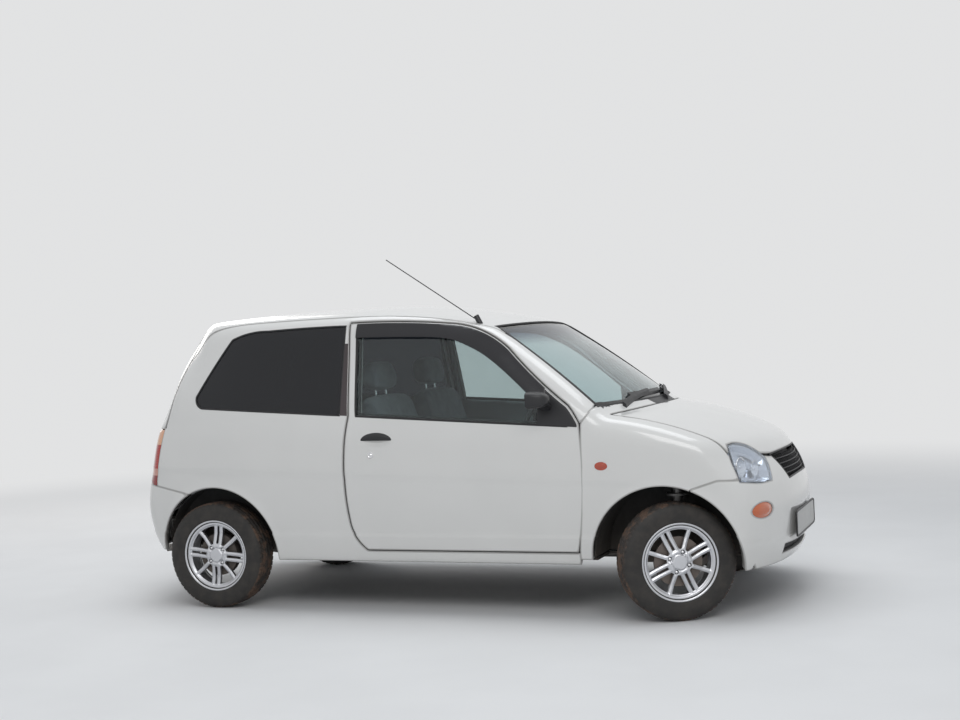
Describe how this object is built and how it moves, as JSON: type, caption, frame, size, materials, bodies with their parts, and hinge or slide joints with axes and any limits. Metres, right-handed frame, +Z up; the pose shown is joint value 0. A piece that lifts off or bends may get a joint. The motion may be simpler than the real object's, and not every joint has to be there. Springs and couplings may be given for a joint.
{
  "type": "kei car",
  "caption": "Small three-door hatchback car with opening doors, bonnet, tailgate and fuel lid, steered front wheels and a hollow glazed cabin.",
  "frame": {"origin": "on the ground under the middle of the overall length and width", "axes": "+X forwards, +Y to the car's left, +Z up"},
  "size_m": [3.3948, 1.724, 1.7071],
  "materials": {
    "paint": "gloss pearl white",
    "inner_metal": "satin",
    "underbody": "matt black",
    "black_trim": "grained black",
    "glass_clear": "light green tint",
    "glass_dark": "very dark tint",
    "alloy": "satin silver",
    "tyre": "matt",
    "cast": "rough",
    "steel": "satin",
    "engine": "cast",
    "lamp_clear": "clear",
    "lamp_red": "gloss red",
    "lamp_amber": "gloss amber",
    "dash": "grained dark grey",
    "seat": "woven grey"
  },
  "bodies": {
    "car_body": {"front_fenders": "paint", "body_side_right": "paint", "body_side_left": "paint", "roof_panel": "paint", "cowl_panel": "black_trim", "bulkhead": "inner_metal", "front_bumper": "paint", "rear_bumper": "paint", "headlamps": "lamp_clear", "tail_lamps": "lamp_red", "indicators": "lamp_amber", "grille": "black_trim", "windscreen": "glass_clear", "quarter_glass": "glass_dark", "wipers": "black_trim", "front_suspension": "underbody", "front_struts": "steel", "front_wheel_wells": "underbody", "rear_wheel_wells": "underbody", "floor_pan": "underbody", "engine_block": "engine", "front_frame": "underbody", "rear_axle": "underbody", "fuel_tank": "underbody", "exhaust": "steel", "dashboard": "dash", "front_seat_right": "seat", "front_seat_left": "seat", "rear_seat": "seat", "antenna": "black_trim"},
    "hood": {"hood": "paint"},
    "tailgate": {"tailgate": "paint", "tailgate_glass": "glass_dark"},
    "door_right": {"door_right": "paint", "door_glass_right": "glass_clear", "door_mirror_right": "black_trim"},
    "door_left": {"door_left": "paint", "door_glass_left": "glass_clear", "door_mirror_left": "black_trim"},
    "fuel_lid": {"fuel_lid": "paint"},
    "steering_wheel": {"steering_wheel": "dash"},
    "knuckle_right": {"knuckle_right": "cast"},
    "knuckle_left": {"knuckle_left": "cast"},
    "wheel_front_right": {"rim_front_right": "alloy", "tyre_front_right": "tyre"},
    "wheel_front_left": {"rim_front_left": "alloy", "tyre_front_left": "tyre"},
    "wheel_rear_right": {"rim_rear_right": "alloy", "tyre_rear_right": "tyre"},
    "wheel_rear_left": {"rim_rear_left": "alloy", "tyre_rear_left": "tyre"}
  },
  "joints": [
    {"name": "bonnet_hinge", "type": "hinge", "parent": "car_body", "child": "hood", "pos_m": [0.9055, 0, 0.925], "axis": [0, -1, 0], "range_deg": [0, 45]},
    {"name": "tailgate_hinge", "type": "hinge", "parent": "car_body", "child": "tailgate", "pos_m": [-1.3055, 0, 1.446], "axis": [0, 1, 0], "range_deg": [0, 80]},
    {"name": "door_hinge_right", "type": "hinge", "parent": "car_body", "child": "door_right", "pos_m": [0.8035, -0.7225, 0.6], "axis": [0, 0, 1], "range_deg": [0, 65]},
    {"name": "door_hinge_left", "type": "hinge", "parent": "car_body", "child": "door_left", "pos_m": [0.8035, 0.7225, 0.6], "axis": [0, 0, -1], "range_deg": [0, 65]},
    {"name": "fuel_lid_hinge", "type": "hinge", "parent": "car_body", "child": "fuel_lid", "pos_m": [-0.9685, 0.7195, 0.77], "axis": [0, 0, -1], "range_deg": [0, 90]},
    {"name": "steer_right", "type": "hinge", "parent": "car_body", "child": "knuckle_right", "pos_m": [1.1945, -0.615, 0.266], "axis": [0, 0, 1], "range_deg": [-66, 6]},
    {"name": "steer_left", "type": "hinge", "parent": "car_body", "child": "knuckle_left", "pos_m": [1.1945, 0.615, 0.266], "axis": [0, 0, 1], "range_deg": [-66, 6]},
    {"name": "steering_column", "type": "hinge", "parent": "car_body", "child": "steering_wheel", "pos_m": [0.4665, -0.33, 0.885], "axis": [-0.92, 0, 0.392], "range_deg": [-1056, 96]},
    {"name": "wheel_spin_front_right", "type": "hinge", "parent": "knuckle_right", "child": "wheel_front_right", "pos_m": [1.212, -0.64531, 0.266], "axis": [-0.5, 0.866, 0], "continuous": true},
    {"name": "wheel_spin_front_left", "type": "hinge", "parent": "knuckle_left", "child": "wheel_front_left", "pos_m": [1.177, 0.64531, 0.266], "axis": [-0.5, 0.866, 0], "continuous": true},
    {"name": "wheel_spin_rear_right", "type": "hinge", "parent": "car_body", "child": "wheel_rear_right", "pos_m": [-1.1455, -0.65, 0.266], "axis": [0, 1, 0], "continuous": true},
    {"name": "wheel_spin_rear_left", "type": "hinge", "parent": "car_body", "child": "wheel_rear_left", "pos_m": [-1.1455, 0.65, 0.266], "axis": [0, 1, 0], "continuous": true}
  ],
  "couplings": [
    {"joint": "steer_left", "follows": "steer_right", "ratio": 1},
    {"joint": "steering_column", "follows": "steer_right", "ratio": 16}
  ]
}
